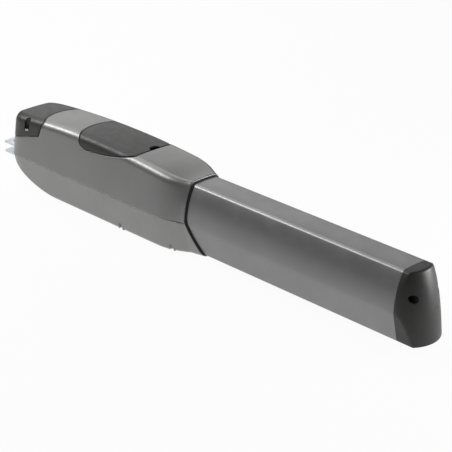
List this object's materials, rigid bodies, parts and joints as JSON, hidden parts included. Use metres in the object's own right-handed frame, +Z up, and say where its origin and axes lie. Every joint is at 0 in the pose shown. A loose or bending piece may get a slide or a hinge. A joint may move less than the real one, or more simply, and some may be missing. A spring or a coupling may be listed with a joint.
{
  "type": "swing gate opener",
  "caption": "Linear swing gate opener: moulded gearmotor housing with a release cover, a slotted six-sided beam with a screw-driven carriage, and a swivelling rear fork.",
  "frame": {"origin": "axis of the fork's middle fixing bolt, halfway between the two fork plates", "axes": "+X along the beam from the rear fork to the front cap, +Z up"},
  "size_m": [0.8972, 0.1094, 0.1347],
  "materials": {
    "housing_paint": "satin metallic grey paint",
    "beam_paint": "satin metallic grey paint on an extrusion",
    "dark_plastic": "fine-grained charcoal moulding",
    "black_plastic": "moulded",
    "red_plastic": "moulded",
    "white_plastic": "turned acetal",
    "terminal_plastic": "moulded",
    "rubber": "moulded",
    "zinc": "zinc plated",
    "galvanised": "hot-dip galvanised",
    "gear_steel": "turned and hobbed",
    "motor_steel": "black electro-coated",
    "cast_alloy": "as cast",
    "bronze": "turned",
    "brass_lock": "turned"
  },
  "bodies": {
    "operator": {"upper_shell": "housing_paint", "lower_shell": "housing_paint", "shell_screws": "zinc", "rear_cap": "dark_plastic", "rear_cap_screws": "zinc", "cover_hinge_pin": "zinc", "release_well": "black_plastic", "lock_body": "brass_lock", "beam": "beam_paint", "beam_gasket": "rubber", "front_cap": "dark_plastic", "front_cap_screws": "zinc", "pivot_bush": "bronze", "gear_case_rear": "cast_alloy", "gear_case_front": "cast_alloy", "case_screws": "zinc", "motor_can": "motor_steel", "motor_end_bell": "black_plastic", "screw_bearings": "zinc", "bearing_plate": "cast_alloy", "front_bush": "bronze", "travel_stops": "zinc", "cable_grommet": "rubber", "terminal_board": "terminal_plastic"},
    "fork": {"fork_plate_upper": "galvanised", "fork_plate_lower": "galvanised", "pivot_pin": "zinc", "pivot_clip": "zinc"},
    "cover": {"release_cover": "dark_plastic"},
    "lever": {"release_lever": "red_plastic", "release_shaft": "zinc"},
    "lock": {"lock_rotor": "brass_lock"},
    "pinion": {"motor_pinion": "gear_steel"},
    "gear": {"drive_gear": "gear_steel"},
    "clutch": {"clutch_sleeve": "gear_steel"},
    "screw": {"lead_screw": "gear_steel"},
    "carriage": {"carriage_block": "cast_alloy", "carriage_nut": "bronze", "carriage_bush": "bronze", "slide_pads": "white_plastic"}
  },
  "joints": [
    {"name": "fork_swing", "type": "hinge", "parent": "operator", "child": "fork", "pos_m": [0.051, 0, 0], "axis": [0, 0, 1], "range_deg": [-15, 15]},
    {"name": "cover_hinge", "type": "hinge", "parent": "operator", "child": "cover", "pos_m": [0.211, 0, 0.0769], "axis": [0, -1, 0], "range_deg": [0, 60]},
    {"name": "release_turn", "type": "hinge", "parent": "operator", "child": "lever", "pos_m": [0.27392, 0, 0.06], "axis": [0, 0, -1], "range_deg": [0, 90]},
    {"name": "lock_turn", "type": "hinge", "parent": "operator", "child": "lock", "pos_m": [0.3155, 0.005, 0.06], "axis": [0, 0, 1], "range_deg": [0, 90]},
    {"name": "screw_spin", "type": "hinge", "parent": "operator", "child": "screw", "pos_m": [0.4, 0, -0.012], "axis": [-1, 0, 0], "range_deg": [0, 16800]},
    {"name": "gear_spin", "type": "hinge", "parent": "operator", "child": "gear", "pos_m": [0.245, 0, -0.012], "axis": [-1, 0, 0], "range_deg": [0, 16800]},
    {"name": "pinion_spin", "type": "hinge", "parent": "operator", "child": "pinion", "pos_m": [0.245, 0, 0.016], "axis": [-1, 0, 0], "range_deg": [-61600, 0]},
    {"name": "carriage_slide", "type": "slide", "parent": "operator", "child": "carriage", "axis": [1, 0, 0], "range_m": [0, 0.28]},
    {"name": "clutch_shift", "type": "slide", "parent": "screw", "child": "clutch", "axis": [1, 0, 0], "range_m": [0, 0.00424]}
  ],
  "couplings": [
    {"joint": "gear_spin", "follows": "screw_spin", "ratio": 1},
    {"joint": "pinion_spin", "follows": "screw_spin", "ratio": -3.6667},
    {"joint": "carriage_slide", "follows": "screw_spin", "m_per_rad": 0.00095493},
    {"joint": "release_turn", "follows": "clutch_shift", "rad_per_m": 370.24}
  ]
}
